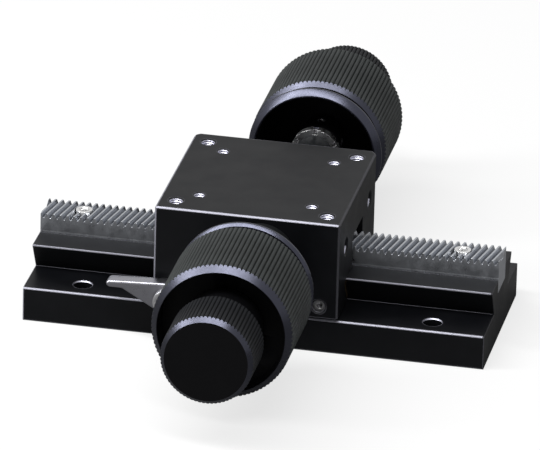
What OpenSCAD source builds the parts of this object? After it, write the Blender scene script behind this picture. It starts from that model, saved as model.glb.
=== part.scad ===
// Rack and pinion dovetail stage with coaxial coarse and fine knobs.
// X runs along the rail, Y from front to back, Z up. The origin is at the
// centre of the rail, on its underside. All sizes are in millimetres.

/* [Rail] */
// Length of the rail
rail_l = 150; // [130:1:200]
// Width of the rail's flange
rail_w = 60; // [58:1:80]
// Thickness of the flange
flange_t = 11.5; // [9:0.5:16]
// Width of the dovetail across its top
dovetail_w = 35; // [32:0.5:38]
// Height of the dovetail above the flange
dovetail_h = 9.5; // [9:0.5:12]
// Angle of the dovetail's flanks to the level, in degrees
flank_angle = 60; // [50:1:70]
// Chamfer on the rail's long edges
rail_chamfer = 0.4; // [0.3:0.1:1.2]
// Diameter of the four mounting holes
mount_hole_d = 6.4; // [4:0.1:7]
// Distance of the mounting holes from the rail's ends
mount_end = 18; // [14:0.5:24]
// Distance of the mounting holes from the rail's long sides
mount_side = 7; // [5:0.5:8]

/* [Rack] */
// Width of the rack
rack_w = 12.4; // [10:0.1:14]
// Height of the rack from its seat to its tooth tips
rack_h = 10.9; // [9.5:0.1:12]
// Depth of the rack's seat in the top of the dovetail
rack_seat = 4.5; // [3.5:0.1:6]
// Normal module of the teeth
tooth_module = 0.7; // [0.6:0.05:0.8]
// Slant of the teeth to the straight across, in degrees
helix_angle = 11; // [0:1:20]
// Distance of the rack screws from the rail's ends
rack_screw_end = 13; // [12:0.5:25]

/* [Carriage] */
// Length of the carriage along the rail
carriage_l = 60; // [58:1:70]
// Width of the carriage from front to back
carriage_w = 62; // [60:1:70]
// Height of the carriage's top above the bench
carriage_top = 45; // [44:0.5:55]
// Gap between the carriage and the flange under it
carriage_gap = 1; // [0.6:0.1:1.4]
// Place of the carriage along the rail, from the rail's centre
carriage_x = -2.3; // [-20:0.1:20]
// Chamfer round the carriage's top and its front corners
carriage_chamfer = 0.5; // [0.3:0.1:1.5]
// Chamfer of the carriage's back corners
back_chamfer = 2.2; // [0.8:0.1:3]
// Pitch of the outer four holes in the top
top_pitch = 49; // [46:0.5:50]
// Tapping diameter of the outer four holes
top_hole_d = 4.2; // [3:0.1:5]
// Pitch of the inner four holes in the top
inner_pitch = 36.5; // [34:0.5:38]
// Tapping diameter of the inner four holes
inner_hole_d = 3.3; // [2.5:0.1:4]
// Pitch of the two holes in each end of the carriage
side_pitch = 39; // [37:0.5:40]
// Tapping diameter of the holes in the ends
side_hole_d = 5; // [3:0.1:5]
// Height of the holes in the ends
side_hole_z = 33; // [32:0.1:34]
// Thickness of the gib strip
gib_t = 2.5; // [2:0.1:3]
// Distance of the gib screw and the clamp from the carriage's middle
cheek_pitch = 23.8; // [20:0.1:26]
// Height of the gib screws and the clamp
cheek_z = 16.3; // [15.8:0.1:17]

/* [Coaxial drive] */
// Teeth on the pinion
pinion_teeth = 14; // [14:1:16]
// Place of the knob axis, from the carriage's middle along the rail
axis_offset = 4.7; // [-8:0.1:8]
// Diameter of the fine shaft
fine_shaft_d = 4; // [3:0.1:4]
// Diameter of the hollow coarse shaft
coarse_shaft_d = 8; // [7.6:0.1:8.2]
// Diameter of the sleeves that carry the shafts
sleeve_d = 12; // [11.6:0.1:13]
// Distance of the sleeve ends from the middle plane
sleeve_end = 58; // [56:0.5:59]
// Diameter of the reducer's balls
ball_d = 7.9; // [7.7:0.05:7.9]

/* [Knobs] */
// Diameter of the coarse knobs
coarse_d = 45; // [42:0.5:48]
// Distance of the coarse knobs' cups from the middle plane
coarse_start = 54; // [52:0.5:56]
// Length of a coarse knob
coarse_l = 38.5; // [36:0.5:42]
// Diameter of the cup at a coarse knob's inner end
cup_d = 39.6; // [37:0.1:40]
// Depth of the cup
cup_depth = 18; // [18:0.5:19]
// Diameter of the recess in a coarse knob's outer face
recess_d = 40.6; // [37:0.1:41]
// Depth of the recess
recess_depth = 8.5; // [6:0.5:9]
// Chamfer at the ends of the coarse knob's grip
coarse_chamfer = 2; // [1:0.1:2.4]
// Diameter of the fine knobs
fine_d = 29.5; // [26:0.5:32]
// Length of a fine knob's grip
fine_grip = 18; // [14:0.5:24]
// Gap between a fine knob's grip and the coarse knob's rim
fine_gap = 4; // [3.5:0.1:6]
// Diameter of a fine knob's neck
fine_neck_d = 25; // [20:0.5:27]
// Chamfer of a fine knob's outer edge
fine_chamfer = 1.5; // [0.5:0.1:2]

/* [Clamp] */
// Reach of the clamp lever from its pivot
lever_reach = 20.2; // [16:0.1:24]
// Diameter of the lever's hub
lever_hub_d = 11; // [9:0.1:12]
// Width of the lever from front to back
lever_w = 5; // [4:0.1:6]
// Thickness of the lever's tip
lever_tip_t = 2.4; // [1.8:0.1:3]
// Diameter of the clamp screw
clamp_screw_d = 5; // [4:0.1:5]

/* [Hidden] */
$fn = 96;

// Clearances: sliding faces, running fits, thread and seat gaps
slide_gap = 0.05;
run_gap = 0.03;
loose_gap = 0.2;
cut_over = 1;

// Rail and rack heights, and the places of their holes
mount_pitch_x = rail_l - 2 * mount_end;
mount_pitch_y = rail_w - 2 * mount_side;
rack_screw_pitch = rail_l - 2 * rack_screw_end;
dovetail_z = flange_t + dovetail_h;
rack_seat_z = dovetail_z - rack_seat;
rack_tip_z = rack_seat_z + rack_h;
rack_slot_w = rack_w + 3 * loose_gap;

// Tooth form, in the plane square to the teeth and across the rack
pressure_angle = 20;
addendum = tooth_module;
dedendum_share = 1.25;
dedendum = dedendum_share * tooth_module;
normal_pitch = PI * tooth_module;
across_module = tooth_module / cos(helix_angle);
across_pitch = PI * across_module;
backlash = 0.12 * tooth_module;
pitch_line_z = rack_tip_z - addendum;

// Pinion and knob axis
pitch_r = pinion_teeth * across_module / 2;
mesh_share = 0.1;
axis_x = carriage_x + axis_offset;
axis_z = pitch_line_z + pitch_r + mesh_share * tooth_module;
pinion_w = rack_w + loose_gap;

// Carriage
carriage_z = flange_t + carriage_gap;
rack_clear_w = 17;
rack_clear_h = 10.8;
rack_clear_z = dovetail_z + rack_clear_h;
top_hole_depth = 10;
inner_hole_depth = 8;
side_hole_depth = 12;
sink_share = 0.09;
mouth_share = 0.28;
cheek_x = carriage_x + cheek_pitch;
clamp_x = carriage_x - cheek_pitch;
front_y = -carriage_w / 2;

// Gib screws: a hex socket grub screw
gib_screw_d = 4;
gib_tip_d = 1.6;
gib_tip_l = 1.2;
gib_screw_key = 2;
gib_key_depth = 2.5;
gib_screw_inset = 1.2;

// Rack screws: a socket cap screw
rack_screw_d = 3;
rack_head_d = 5.5;
rack_head_h = 3;
rack_sink_d = 6.2;
rack_head_proud = 0.3;
rack_sink_z = rack_tip_z + rack_head_proud - rack_head_h;
rack_screw_bite = 5;
rack_key = 2.5;
rack_key_depth = 1.4;

// Sleeves: spigot in the block, flange on its face, tube towards the knob
spigot_d = 13;
spigot_end = 16;
sleeve_flange_d = 22.6;
sleeve_flange_t = 3;
sleeve_bore_d = 10;
sleeve_screw_d = 2.5;
sleeve_screw_r = 9;
sleeve_head_d = 4.4;
sleeve_head_h = 1.6;
sleeve_screw_bite = 6;
bush_inner_end = 28;
bush_outer_start = 48;
bush_outer_end = 57.5;

// Ball reducer: the drum is fixed, the balls roll on the fine shaft in it
drum_wall = 2.5;
drum_d = 25;
drum_bore_d = 20;
drum_gap = 2;
ball_ring_r = fine_shaft_d / 2 + ball_d / 2 + slide_gap;
ball_place = 66.2;
balls = 3;
carrier_plate_d = 19;
carrier_inner = 60.3;
carrier_inner_t = 1.7;
carrier_outer_t = 1.6;
carrier_post_d = 2.8;
carrier_post_r = 6.6;

// Friction nut and wave washer of the back knob
nut_d = 16;
nut_start = 55;
nut_slots = 6;
nut_slot_w = 1.6;
nut_slot_depth = 1.6;
washer_t = 1.2;
washer_d = 14;

// Knobs
cup_end = coarse_start + cup_depth;
drum_end = cup_end - drum_gap;
coarse_end = coarse_start + coarse_l;
web_end = coarse_end - recess_depth;
knob_boss_d = 14;
ring_l = 3.5;
ring_end = coarse_start + ring_l;
ring_step = 0.2;
ring_d = coarse_d - 2 * ring_step;
ring_edge = 0.4;
ring_seat_t = 0.8;
ring_seat_d = cup_d + 2 * ring_seat_t;
groove_step = 0.2;
groove_d = ring_seat_d + 2 * groove_step;
ring_lip = 1.2;
grip_inset = 6.8;
grip_start = coarse_start + grip_inset;
fine_start = coarse_end + fine_gap;
fine_end = fine_start + fine_grip;
neck_gap = 2;
neck_start = web_end + neck_gap;
fine_back_chamfer = 0.8;
fine_cap = 4.5;
fine_bore_end = fine_end - fine_cap;
knob_screw_d = 2.5;
knob_screw_r = 7.5;
knob_head_d = 4.4;
knob_head_h = 1.6;
grub_d = 3;
boss_grub_inset = 6;
boss_grub_place = cup_end - boss_grub_inset;
fine_grub_place = coarse_end + fine_gap / 2;
fine_grub_l = 8;
grub_key = 1.5;
grub_key_depth = 1.5;
thrust_d = 12;
thrust_t = 1.8;

// Clamp: collar against the block, lever on it, screw through both
collar_d = 9;
collar_t = 2;
lever_y = front_y - loose_gap - collar_t;
clamp_head_d = 8.5;
clamp_head_h = 3;
clamp_key = 4;
clamp_key_depth = 2;
clamp_plug_l = 2.6;
clamp_hole_d = clamp_screw_d + 2 * slide_gap;
lever_flare_share = 0.74;
lever_top_share = 0.84;

// Half width of the dovetail at height z
function flank_y(z) = dovetail_w / 2 - (dovetail_z - z) / tan(flank_angle);

// Shift along Y that moves a flank outwards by t, square to itself
function flank_shift(t) = t / sin(flank_angle);

// A list of points with its mirror image about the second axis
function both_sides(half) = concat(half, [for (i = [len(half) - 1:-1:0]) [-half[i][0], half[i][1]]]);

// Front of the gib at height z, and the face of it that the screws meet
function gib_face_y(z) = -flank_y(z) - flank_shift(slide_gap + gib_t);

// Involute of a circle of radius r, at roll angle t in degrees
function involute(r, t) = [r * (cos(t) + t * PI / 180 * sin(t)), r * (sin(t) - t * PI / 180 * cos(t))];

// Roll angle at which the involute of radius r reaches radius q
function roll_to(r, q) = sqrt(max(q * q / (r * r) - 1, 0)) * 180 / PI;

// An outline in Y and Z drawn out along X
module along_x(length) {
    rotate([90, 0, 90])
        linear_extrude(length, center = true)
            children();
}

// An outline in X and Z drawn out along Y
module along_y(length) {
    rotate([90, 0, 0])
        linear_extrude(length, center = true)
            children();
}

// Turned piece on the knob axis: side 1 is the back and -1 the front,
// the outline gives radius against distance from the middle plane
module turned(side, outline) {
    translate([axis_x, 0, axis_z])
        rotate([-90 * side, 0, 0])
            rotate_extrude()
                polygon(outline);
}

// Outline of a tube from a to b, of outer radius r and bore radius q
function tube(a, b, r, q) = [[q, a], [r, a], [r, b], [q, b]];

// A cylinder on the knob axis's own frame, from a to b at radius and angle
module axis_rod(side, a, b, d, place_r, angle) {
    translate([axis_x, 0, axis_z])
        rotate([-90 * side, 0, 0])
            rotate([0, 0, angle])
                translate([place_r, 0, a])
                    cylinder(h = b - a, d = d);
}

// Hexagonal key socket, its mouth at the origin and its depth along -Z
module key_socket(across, depth) {
    translate([0, 0, -depth])
        cylinder(h = depth + cut_over, d = across / cos(30), $fn = 6);
}

// Tapped hole going down from the origin, with a countersunk mouth
module tapped_hole(d, depth) {
    translate([0, 0, -depth])
        cylinder(h = depth + cut_over, d = d);
    translate([0, 0, -sink_share * d])
        cylinder(h = 2 * sink_share * d, d1 = d, d2 = d * (1 + 2 * mouth_share));
}

// Places for four holes on a rectangle
module four_corners(pitch_x, pitch_y) {
    for (sx = [-1, 1])
        for (sy = [-1, 1])
            translate([sx * pitch_x / 2, sy * pitch_y / 2, 0])
                children();
}

// Rail: flange with a dovetail on it, and the rack's seat along its top
module rail_outline() {
    c = rail_chamfer;
    polygon(both_sides([
        [rack_slot_w / 2, rack_seat_z],
        [rack_slot_w / 2, dovetail_z],
        [dovetail_w / 2 - c, dovetail_z],
        [flank_y(dovetail_z - c), dovetail_z - c],
        [flank_y(flange_t), flange_t],
        [rail_w / 2 - c, flange_t],
        [rail_w / 2, flange_t - c],
        [rail_w / 2, c],
        [rail_w / 2 - c, 0]
    ]));
}

module base_rail() {
    color([0.13, 0.13, 0.15])
        difference() {
            along_x(rail_l)
                rail_outline();
            translate([0, 0, -cut_over])
                four_corners(mount_pitch_x, mount_pitch_y)
                    cylinder(h = flange_t + 2 * cut_over, d = mount_hole_d);
            for (s = [-1, 1])
                translate([s * rack_screw_pitch / 2, 0, rack_seat_z - rack_screw_bite])
                    cylinder(h = rack_screw_bite + cut_over, d = rack_screw_d);
        }
}

// One tooth gap of the rack, square to the teeth, centred on the second axis
module rack_gap() {
    half = normal_pitch / 4 + backlash / 4;
    top = half + (addendum + cut_over) * tan(pressure_angle);
    low = half - dedendum * tan(pressure_angle);
    polygon(both_sides([[low, pitch_line_z - dedendum], [top, rack_tip_z + cut_over]]));
}

module rack() {
    gaps = ceil(rail_l / across_pitch / 2) + 2;
    color([0.55, 0.56, 0.58])
        difference() {
            translate([-rail_l / 2, -rack_w / 2, rack_seat_z])
                cube([rail_l, rack_w, rack_h]);
            for (i = [-gaps:gaps])
                translate([(i + 0.5) * across_pitch, 0, 0])
                    rotate([0, 0, -helix_angle])
                        along_y(2 * rack_w)
                            rack_gap();
            for (s = [-1, 1])
                translate([s * rack_screw_pitch / 2, 0, rack_seat_z - cut_over]) {
                    cylinder(h = rack_h, d = rack_screw_d + 2 * loose_gap);
                    translate([0, 0, rack_sink_z - rack_seat_z + cut_over])
                        cylinder(h = rack_h, d = rack_sink_d);
                }
        }
}

module rack_screws() {
    color([0.8, 0.8, 0.82])
        for (s = [-1, 1])
            translate([s * rack_screw_pitch / 2, 0, rack_sink_z])
                difference() {
                    union() {
                        cylinder(h = rack_head_h, d = rack_head_d);
                        translate([0, 0, rack_seat_z - rack_sink_z - rack_screw_bite + loose_gap])
                            cylinder(h = rack_sink_z - rack_seat_z + rack_screw_bite, d = rack_screw_d);
                    }
                    translate([0, 0, rack_head_h])
                        key_socket(rack_key, rack_key_depth);
                }
}

// Carriage: outer block, seen from the end, the front and above
module block_shape() {
    c = carriage_chamfer;
    h = carriage_top - carriage_z;
    intersection() {
        along_x(carriage_l)
            polygon(both_sides([
                [carriage_w / 2, carriage_z],
                [carriage_w / 2, carriage_top - c],
                [carriage_w / 2 - c, carriage_top]
            ]));
        along_y(carriage_w)
            polygon(both_sides([
                [carriage_l / 2, carriage_z],
                [carriage_l / 2, carriage_top - c],
                [carriage_l / 2 - c, carriage_top]
            ]));
        translate([0, 0, carriage_z])
            linear_extrude(h)
                polygon(both_sides([
                    [carriage_l / 2 - back_chamfer, carriage_w / 2],
                    [carriage_l / 2, carriage_w / 2 - back_chamfer],
                    [carriage_l / 2, -carriage_w / 2 + c],
                    [carriage_l / 2 - c, -carriage_w / 2]
                ]));
    }
}

// Carriage: the way for the dovetail, its gib and the rack
module way_outline() {
    roof = dovetail_z + slide_gap;
    low = carriage_z - cut_over;
    back = flank_shift(slide_gap);
    front = flank_shift(2 * slide_gap + gib_t);
    polygon([
        [flank_y(low) + back, low],
        [flank_y(roof) + back, roof],
        [rack_clear_w / 2, roof],
        [rack_clear_w / 2, rack_clear_z],
        [-rack_clear_w / 2, rack_clear_z],
        [-rack_clear_w / 2, roof],
        [-flank_y(roof) - front, roof],
        [-flank_y(low) - front, low]
    ]);
}

module carriage_block() {
    color([0.14, 0.14, 0.16])
        difference() {
            translate([carriage_x, 0, 0])
                block_shape();
            translate([carriage_x, 0, 0])
                along_x(carriage_l + 2 * cut_over)
                    way_outline();
            for (side = [-1, 1]) {
                turned(side, tube(-cut_over, carriage_w / 2 + cut_over, spigot_d / 2, 0));
                for (a = [90, 210, 330])
                    axis_rod(side, carriage_w / 2 - sleeve_screw_bite, carriage_w / 2 + cut_over,
                        sleeve_screw_d, sleeve_screw_r, a);
            }
            translate([carriage_x, 0, carriage_top]) {
                four_corners(top_pitch, top_pitch)
                    tapped_hole(top_hole_d, top_hole_depth);
                four_corners(inner_pitch, inner_pitch)
                    tapped_hole(inner_hole_d, inner_hole_depth);
            }
            for (end = [-1, 1])
                for (sy = [-1, 1])
                    translate([carriage_x + end * carriage_l / 2, sy * side_pitch / 2, side_hole_z])
                        rotate([0, 90 * end, 0])
                            tapped_hole(side_hole_d, side_hole_depth);
            for (x = [carriage_x, cheek_x])
                translate([x, front_y, cheek_z])
                    rotate([90, 0, 0])
                        tapped_hole(gib_screw_d, gib_face_y(cheek_z) - front_y + gib_t);
            translate([clamp_x, front_y, cheek_z])
                rotate([90, 0, 0])
                    translate([0, 0, -carriage_w / 4])
                        cylinder(h = carriage_w / 4 + cut_over, d = clamp_hole_d);
        }
}

// Gib: the strip between the front flank and the screws
module gib() {
    low = carriage_z + loose_gap;
    high = dovetail_z - loose_gap;
    near = flank_shift(slide_gap);
    far = flank_shift(slide_gap + gib_t);
    color([0.62, 0.5, 0.25])
        translate([carriage_x, 0, 0])
            along_x(carriage_l - 2 * loose_gap)
                polygon([
                    [-flank_y(low) - near, low],
                    [-flank_y(high) - near, high],
                    [-flank_y(high) - far, high],
                    [-flank_y(low) - far, low]
                ]);
}

module gib_screws() {
    mouth = front_y + gib_screw_inset;
    tip = gib_face_y(cheek_z) - gib_tip_d / 2 / tan(flank_angle) - slide_gap;
    color([0.6, 0.6, 0.62])
        for (x = [carriage_x, cheek_x])
            translate([x, mouth, cheek_z])
                rotate([90, 0, 0])
                    difference() {
                        union() {
                            translate([0, 0, mouth - tip + gib_tip_l])
                                cylinder(h = tip - mouth - gib_tip_l, d = gib_screw_d);
                            translate([0, 0, mouth - tip])
                                cylinder(h = gib_tip_l, d1 = gib_tip_d, d2 = gib_screw_d);
                        }
                        key_socket(gib_screw_key, gib_key_depth);
                    }
}

// Plug that the clamp screw presses on the gib
module clamp_plug() {
    face = gib_face_y(cheek_z) - clamp_screw_d / 2 / tan(flank_angle) - slide_gap;
    color([0.7, 0.58, 0.3])
        translate([clamp_x, face - clamp_plug_l, cheek_z])
            rotate([-90, 0, 0])
                cylinder(h = clamp_plug_l, d = clamp_screw_d);
}

// Sleeve: flanged tube that carries the shafts outside the block
module sleeve_body(side) {
    turned(side, [
        [sleeve_bore_d / 2, spigot_end],
        [spigot_d / 2, spigot_end],
        [spigot_d / 2, carriage_w / 2],
        [sleeve_flange_d / 2, carriage_w / 2],
        [sleeve_flange_d / 2, carriage_w / 2 + sleeve_flange_t],
        [sleeve_d / 2, carriage_w / 2 + sleeve_flange_t],
        [sleeve_d / 2, sleeve_end],
        [sleeve_bore_d / 2, sleeve_end]
    ]);
}

// Clearance holes for the three screws of a sleeve's flange
module flange_holes(side) {
    for (a = [90, 210, 330])
        axis_rod(side, carriage_w / 2 - cut_over, carriage_w / 2 + sleeve_flange_t + cut_over,
            sleeve_screw_d + loose_gap, sleeve_screw_r, a);
}

module front_sleeve() {
    color([0.3, 0.3, 0.33])
        difference() {
            union() {
                sleeve_body(-1);
                turned(-1, [
                    [sleeve_bore_d / 2, sleeve_end - cut_over],
                    [drum_d / 2, sleeve_end - cut_over],
                    [drum_d / 2, drum_end],
                    [drum_bore_d / 2, drum_end],
                    [drum_bore_d / 2, sleeve_end - cut_over + drum_wall],
                    [sleeve_bore_d / 2, sleeve_end - cut_over + drum_wall]
                ]);
            }
            flange_holes(-1);
        }
}

module back_sleeve() {
    color([0.3, 0.3, 0.33])
        difference() {
            sleeve_body(1);
            flange_holes(1);
        }
}

// Three flange screws, from the flange's face into the block
module flange_screws(side) {
    face = carriage_w / 2 + sleeve_flange_t;
    color([0.7, 0.7, 0.72])
        for (a = [90, 210, 330])
            difference() {
                union() {
                    axis_rod(side, face, face + sleeve_head_h, sleeve_head_d, sleeve_screw_r, a);
                    axis_rod(side, carriage_w / 2 - sleeve_screw_bite + loose_gap, face,
                        sleeve_screw_d, sleeve_screw_r, a);
                }
                translate([axis_x, 0, axis_z])
                    rotate([-90 * side, 0, 0])
                        rotate([0, 0, a])
                            translate([sleeve_screw_r, 0, face + sleeve_head_h])
                                key_socket(grub_key, sleeve_head_h / 2);
            }
}

module front_sleeve_screws() {
    flange_screws(-1);
}

module back_sleeve_screws() {
    flange_screws(1);
}

// Two bushes in a sleeve's bore, with the coarse shaft running in them
module bush_pair(side) {
    bore = coarse_shaft_d / 2 + run_gap;
    color([0.66, 0.5, 0.3]) {
        turned(side, tube(spigot_end, bush_inner_end, sleeve_bore_d / 2, bore));
        turned(side, tube(bush_outer_start, bush_outer_end, sleeve_bore_d / 2, bore));
    }
}

module front_bushes() {
    bush_pair(-1);
}

module back_bushes() {
    bush_pair(1);
}

// Nut with a ring of spanner slots on the end of the back sleeve
module friction_nut() {
    color([0.35, 0.35, 0.38])
        difference() {
            turned(1, tube(nut_start, sleeve_end, nut_d / 2, sleeve_d / 2));
            for (i = [0:nut_slots - 1])
                translate([axis_x, nut_start, axis_z])
                    rotate([0, i * 360 / nut_slots, 0])
                        translate([-nut_slot_w / 2, -cut_over, nut_d / 2 - nut_slot_depth])
                            cube([nut_slot_w, sleeve_end, nut_slot_depth + cut_over]);
        }
}

module wave_washer() {
    color([0.7, 0.7, 0.72])
        turned(1, tube(sleeve_end, sleeve_end + washer_t, washer_d / 2, coarse_shaft_d / 2 + loose_gap));
}

// Pinion outline: involute flanks, thinned by the backlash
module pinion_outline() {
    base_r = pitch_r * cos(pressure_angle);
    tip_r = pitch_r + addendum;
    root_r = pitch_r - dedendum;
    roll_pitch = roll_to(base_r, pitch_r);
    at_pitch = roll_pitch - atan(roll_pitch * PI / 180);
    half_angle = 90 / pinion_teeth - backlash / pitch_r * 45 / PI;
    steps = 4;
    flank = [for (i = [0:steps]) involute(base_r, roll_to(base_r, tip_r) * i / steps)];
    turn = half_angle + at_pitch;
    upper = [for (p = flank) [
        p[0] * cos(turn) + p[1] * sin(turn),
        p[0] * sin(turn) - p[1] * cos(turn)
    ]];
    foot_angle = turn - 2;
    foot = [root_r * cos(foot_angle), root_r * sin(foot_angle)];
    half = concat([foot], upper);
    tooth = concat([for (p = half) [p[0], -p[1]]], [for (i = [len(half) - 1:-1:0]) half[i]]);
    polygon([for (k = [0:pinion_teeth - 1])
        for (p = tooth) [
            p[0] * cos(k * 360 / pinion_teeth) - p[1] * sin(k * 360 / pinion_teeth),
            p[0] * sin(k * 360 / pinion_teeth) + p[1] * cos(k * 360 / pinion_teeth)
        ]]);
}

// Hollow coarse shaft with the slanted pinion cut on its middle
module pinion_shaft() {
    gap_x = (round(axis_x / across_pitch - 0.5) + 0.5) * across_pitch;
    phase = (gap_x - axis_x) / pitch_r * 180 / PI;
    twist = pinion_w * tan(helix_angle) / pitch_r * 180 / PI;
    color([0.6, 0.6, 0.62])
        difference() {
            union() {
                turned(-1, tube(-cut_over, carrier_inner + carrier_inner_t, coarse_shaft_d / 2, 0));
                turned(1, tube(-cut_over, web_end, coarse_shaft_d / 2, 0));
                translate([axis_x, 0, axis_z])
                    rotate([-90, 0, 0])
                        rotate([0, 0, 90 - phase + twist / 2])
                            linear_extrude(pinion_w, center = true, twist = twist, slices = 6)
                                pinion_outline();
            }
            turned(-1, tube(-web_end, web_end, fine_shaft_d / 2 + run_gap, 0));
        }
}

// Carrier that holds the balls and turns the coarse knob
module reducer_carrier() {
    inner_end = carrier_inner + carrier_inner_t;
    outer_start = cup_end - carrier_outer_t;
    bore = fine_shaft_d / 2 + run_gap;
    color([0.6, 0.6, 0.62])
        difference() {
            union() {
                turned(-1, tube(carrier_inner, inner_end, carrier_plate_d / 2, coarse_shaft_d / 2));
                turned(-1, tube(outer_start, cup_end, drum_d / 2 - loose_gap, bore));
                turned(-1, tube(cup_end, web_end, coarse_shaft_d / 2, bore));
                for (i = [0:balls - 1])
                    axis_rod(-1, inner_end - carrier_inner_t / 2, outer_start + carrier_outer_t / 2,
                        carrier_post_d, carrier_post_r, (i + 0.5) * 360 / balls);
            }
            for (i = [0:balls - 1])
                axis_rod(-1, outer_start - cut_over, cup_end + cut_over,
                    knob_screw_d, knob_screw_r, (i + 0.5) * 360 / balls + 30);
        }
}

module reducer_balls() {
    color([0.8, 0.8, 0.82])
        for (i = [0:balls - 1])
            translate([axis_x, 0, axis_z])
                rotate([90, 0, 0])
                    rotate([0, 0, i * 360 / balls])
                        translate([ball_ring_r, 0, ball_place])
                            sphere(d = ball_d);
}

// Coarse knob: cup, web and recess in one turned piece
module coarse_knob_body(side) {
    c = coarse_chamfer;
    bore = coarse_shaft_d / 2;
    turned(side, [
        [bore, cup_end],
        [cup_d / 2, cup_end],
        [cup_d / 2, coarse_start + ring_lip],
        [ring_seat_d / 2, coarse_start + ring_lip],
        [ring_seat_d / 2, ring_end],
        [groove_d / 2, ring_end],
        [groove_d / 2, grip_start],
        [coarse_d / 2, grip_start + coarse_d / 2 - groove_d / 2],
        [coarse_d / 2, coarse_end - c],
        [coarse_d / 2 - c, coarse_end],
        [recess_d / 2, coarse_end],
        [recess_d / 2, web_end],
        [bore, web_end]
    ]);
}

module front_coarse_knob() {
    color([0.22, 0.23, 0.23])
        difference() {
            coarse_knob_body(-1);
            for (i = [0:balls - 1]) {
                axis_rod(-1, cup_end - cut_over, web_end + cut_over,
                    knob_screw_d + loose_gap, knob_screw_r, (i + 0.5) * 360 / balls + 30);
                axis_rod(-1, web_end - knob_head_h, web_end + cut_over,
                    knob_head_d + loose_gap, knob_screw_r, (i + 0.5) * 360 / balls + 30);
            }
        }
}

module back_coarse_knob() {
    boss_start = sleeve_end + washer_t + loose_gap;
    color([0.22, 0.23, 0.23])
        difference() {
            union() {
                coarse_knob_body(1);
                turned(1, tube(boss_start, cup_end + cut_over, knob_boss_d / 2, coarse_shaft_d / 2));
            }
            for (a = [0, 90])
                translate([axis_x, boss_grub_place, axis_z])
                    rotate([0, a, 0])
                        cylinder(h = knob_boss_d, d = grub_d);
        }
}

// Ring seated on the knob round the mouth of its cup
module skirt_ring(side) {
    c = ring_d / 2 - cup_d / 2 - ring_edge;
    color([0.3, 0.31, 0.31])
        turned(side, [
            [cup_d / 2, coarse_start],
            [cup_d / 2 + ring_edge, coarse_start],
            [ring_d / 2, coarse_start + c],
            [ring_d / 2, ring_end],
            [ring_seat_d / 2, ring_end],
            [ring_seat_d / 2, coarse_start + ring_lip],
            [cup_d / 2, coarse_start + ring_lip]
        ]);
}

module front_skirt_ring() {
    skirt_ring(-1);
}

module back_skirt_ring() {
    skirt_ring(1);
}

// Screws through the front knob's web into the carrier
module front_knob_screws() {
    seat = web_end - knob_head_h;
    color([0.6, 0.6, 0.62])
        for (i = [0:balls - 1])
            difference() {
                union() {
                    axis_rod(-1, seat, web_end, knob_head_d, knob_screw_r, (i + 0.5) * 360 / balls + 30);
                    axis_rod(-1, cup_end - carrier_outer_t, seat, knob_screw_d, knob_screw_r,
                        (i + 0.5) * 360 / balls + 30);
                }
                translate([axis_x, 0, axis_z])
                    rotate([90, 0, 0])
                        rotate([0, 0, (i + 0.5) * 360 / balls + 30])
                            translate([knob_screw_r, 0, web_end])
                                key_socket(grub_key, knob_head_h / 2);
            }
}

// Grub screw along Z with its foot at the origin
module grub(length) {
    difference() {
        cylinder(h = length, d = grub_d);
        translate([0, 0, length])
            key_socket(grub_key, grub_key_depth);
    }
}

module back_knob_screws() {
    foot = coarse_shaft_d / 2 + slide_gap;
    color([0.6, 0.6, 0.62])
        for (a = [0, 90])
            translate([axis_x, boss_grub_place, axis_z])
                rotate([0, a, 0])
                    translate([0, 0, foot])
                        grub(knob_boss_d / 2 - foot - slide_gap);
}

module fine_shaft() {
    color([0.75, 0.75, 0.77])
        turned(1, tube(-fine_bore_end, fine_bore_end, fine_shaft_d / 2, 0));
}

// Fine knob: neck inside the coarse knob's recess, grip outside it
module fine_knob(side) {
    r = fine_d / 2;
    color([0.2, 0.2, 0.21])
        difference() {
            turned(side, [
                [fine_shaft_d / 2, neck_start],
                [fine_neck_d / 2, neck_start],
                [fine_neck_d / 2, fine_start],
                [r - fine_back_chamfer, fine_start],
                [r, fine_start + fine_back_chamfer],
                [r, fine_end - fine_chamfer],
                [r - fine_chamfer, fine_end],
                [0, fine_end],
                [0, fine_bore_end],
                [fine_shaft_d / 2, fine_bore_end]
            ]);
            translate([axis_x, side * fine_grub_place, axis_z])
                rotate([180, 0, 0])
                    cylinder(h = fine_d, d = grub_d);
        }
}

module front_fine_knob() {
    fine_knob(-1);
}

module back_fine_knob() {
    fine_knob(1);
}

module fine_knob_screws() {
    foot = fine_shaft_d / 2 + slide_gap;
    color([0.6, 0.6, 0.62])
        for (side = [-1, 1])
            translate([axis_x, side * fine_grub_place, axis_z])
                rotate([180, 0, 0])
                    translate([0, 0, foot])
                        grub(fine_grub_l);
}

// Washers that take the end play between the fine and the coarse knobs
module thrust_washers() {
    color([0.85, 0.84, 0.8])
        for (side = [-1, 1])
            turned(side, tube(neck_start - thrust_t, neck_start, thrust_d / 2, fine_shaft_d / 2));
}

// Clamp lever: a hub with a flat arm that flares into it
module lever_outline() {
    r = lever_hub_d / 2;
    tip_high = lever_top_share * r;
    tip_low = tip_high - lever_tip_t;
    flare = lever_flare_share * lever_reach;
    reach = norm([flare, tip_low]);
    tangent = 180 - atan2(tip_low, flare) + acos(r / reach);
    circle(r = r);
    polygon([
        [0, r],
        [-lever_reach + lever_tip_t / 2, tip_high],
        [-lever_reach, tip_high - lever_tip_t / 4],
        [-lever_reach, tip_low + lever_tip_t / 4],
        [-lever_reach + lever_tip_t / 2, tip_low],
        [-flare, tip_low],
        [r * cos(tangent), r * sin(tangent)],
        [0, 0]
    ]);
}

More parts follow.
